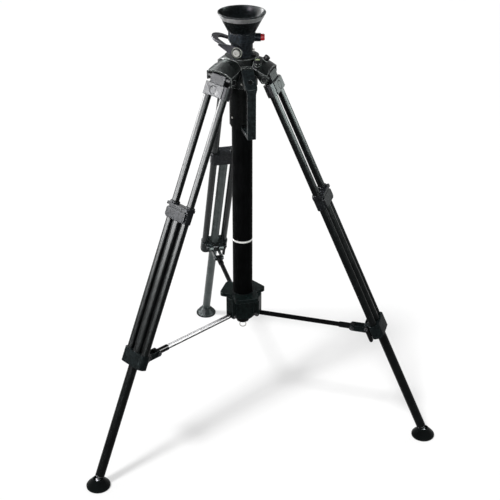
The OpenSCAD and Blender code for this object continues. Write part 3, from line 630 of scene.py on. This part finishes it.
bm = bmesh.new()
bmesh.ops.create_grid(bm, x_segments=2, y_segments=2, size=FLOOR_SIZE)
floor_me = to_mesh(bm, "floor")
floor = bpy.data.objects.new("floor", floor_me)
floor.location.z = floor_z - FLOOR_GAP
floor_me.materials.append(floor_material())
bpy.context.scene.collection.objects.link(floor)

world = bpy.data.worlds.new("studio")
bpy.context.scene.world = world
world.use_nodes = True
sky = Tree(world.node_tree)
background = sky.add("ShaderNodeBackground")
background.inputs["Color"].default_value = WHITE
sky.link(background, "Background", sky.add("ShaderNodeOutputWorld"), "Surface")
sky.link(sky.span(*seen_mask(sky), WORLD_LIGHT, 1.0), "Result", background, "Strength")


def softbox(name, at, target, size, radiance):
    """An area lamp with the given radiance over its face, that the camera doesn't see."""
    lamp = bpy.data.lights.new(name, "AREA")
    lamp.shape = "RECTANGLE"
    lamp.size, lamp.size_y = size
    lamp.energy = radiance * math.pi * size[0] * size[1]
    ob = bpy.data.objects.new(name, lamp)
    ob.location = at
    ob.rotation_euler = (Vector(target) - Vector(at)).to_track_quat("-Z", "Y").to_euler()
    ob.visible_camera = False
    bpy.context.scene.collection.objects.link(ob)
    return ob


# Plain diffuse light: an even, high key from the left front, soft as a large far panel, and a weak one
# at the right back.
sun = bpy.data.lights.new("key", "SUN")
sun.energy = 2.75
sun.angle = math.radians(9.5)
key = bpy.data.objects.new("key", sun)
key.rotation_euler = Vector((6.45, 3.81, -13.5)).to_track_quat("-Z", "Y").to_euler()
key.visible_camera = False
key.visible_glossy = False
bpy.context.scene.collection.objects.link(key)
softbox("back", (1.55, 0.85, 1.25), (0.0, 0.0, -0.6), (1.3, 1.1), 1.2).visible_glossy = False

# Panels that only the gloss shows. The bare metal, the spreader's arms and the two front feet don't
# catch them, and the left-hand arm has panels of its own.
flags = bpy.data.collections.new("flagged_off")
rod_only = bpy.data.collections.new("rod_only")
sleeve_only = bpy.data.collections.new("sleeve_only")
COOL = (0.88, 1.0, 0.97)
# How far the walls stand from the column, and the height that they face, in metres.
WALL_FAR = 2.15
WALL_LOOK = -0.35


def gloss_panel(name, at, target, size, radiance, receivers, tint=(1.0, 1.0, 1.0)):
    lamp = softbox(name, at, target, size, radiance)
    lamp.visible_diffuse = False
    lamp.data.color = tint
    lamp.light_linking.receiver_collection = receivers


def gloss_wall(name, azimuth, low, high, width, radiance, tint=(1.0, 1.0, 1.0)):
    """A gloss panel that stands at an azimuth, between two heights, and faces the legs."""
    a = math.radians(azimuth)
    gloss_panel(name, (WALL_FAR * math.cos(a), WALL_FAR * math.sin(a), (low + high) / 2),
                (0.0, 0.0, WALL_LOOK), (width, high - low), radiance, flags, tint)


# The left wall runs from the left back round to the left front, brightest at the height of the upper legs.
for i, (az, share) in enumerate(((140.0, 0.9), (184.0, 1.0), (228.0, 1.0))):
    gloss_wall("left_main_%d" % i, az, -0.12, 0.42, 1.62, 160.0 * share)
    gloss_wall("left_high_%d" % i, az, 0.44, 1.20, 1.62, 48.0 * share)
    gloss_wall("left_low_%d" % i, az, -0.50, -0.14, 1.62, 12.0 * share)
gloss_wall("left_front", 262.0, 0.0, 0.36, 0.9, 40.0)
# The right wall is cooler and dimmer: one row of panels, and a weak, low one at the right back.
for i, az in enumerate((298.0, 342.0)):
    gloss_wall("right_main_%d" % i, az, 0.04, 0.56, 1.60, 116.0, COOL)
gloss_wall("right_back", 29.0, -0.62, -0.20, 1.0, 7.0, COOL)
# Panels for the flat tops, for the hoods and for the inside of the bowl.
gloss_panel("top_light", (-0.33, 1.88, 1.05), (0.0, 0.0, -0.10), (1.1, 0.6), 32.0, flags, (0.90, 1.0, 0.97))
gloss_panel("hood_light", (-0.67, 1.32, 1.75), (0.0, 0.0, -0.10), (1.0, 0.8), 18.0, flags, (0.92, 1.0, 0.96))
gloss_panel("bowl_light", (-1.65, -0.78, 1.30), (0.0, 0.0, 0.0), (0.6, 0.45), 210.0, flags, (1.0, 0.88, 1.0))
# Three panels side by side round the left-hand rod, where it mirrors them to the camera's place, and one
# for its sleeve.
ROD_LAMP_FAR = 1.5
rod_lo, rod_hi = (Vector(v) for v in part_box("arm_rod_b"))
rod_at = (rod_lo + rod_hi) / 2
along = Vector((math.cos(math.radians(LEGS["b"])), math.sin(math.radians(LEGS["b"])), 0.0))
to_cam = (cam.location - rod_at).normalized()
across = to_cam - along * to_cam.dot(along)
reach = across.length
across.normalize()
side_way = along.cross(across)
for i, (turn, size, power, receivers) in enumerate((
        (-66.0, 2.0, 110.0, rod_only), (0.0, 2.0, 400.0, rod_only), (66.0, 2.0, 110.0, rod_only),
        (0.0, 0.5, 420.0, sleeve_only))):
    t = math.radians(turn)
    way = -along * to_cam.dot(along) + (across * math.cos(t) + side_way * math.sin(t)) * reach
    gloss_panel("rod_light_%d" % i, rod_at + way * ROD_LAMP_FAR, rod_at, (size, size), power, receivers)
rod_only.objects.link(nodes["arm_rod_b"])
sleeve_only.objects.link(nodes["arm_sleeve_b"])
for ob in bpy.context.scene.collection.objects:
    if ob.name.startswith(("bail_bolts", "ballast_ring", "arm_rod", "arm_sleeve", "clamp_screw",
                           "barrel_set_screw", "housing_set_screw", "foot_b", "foot_c")):
        flags.objects.link(ob)
for item in flags.collection_objects:
    item.light_linking.link_state = "EXCLUDE"

bpy.context.scene.view_settings.view_transform = "Standard"
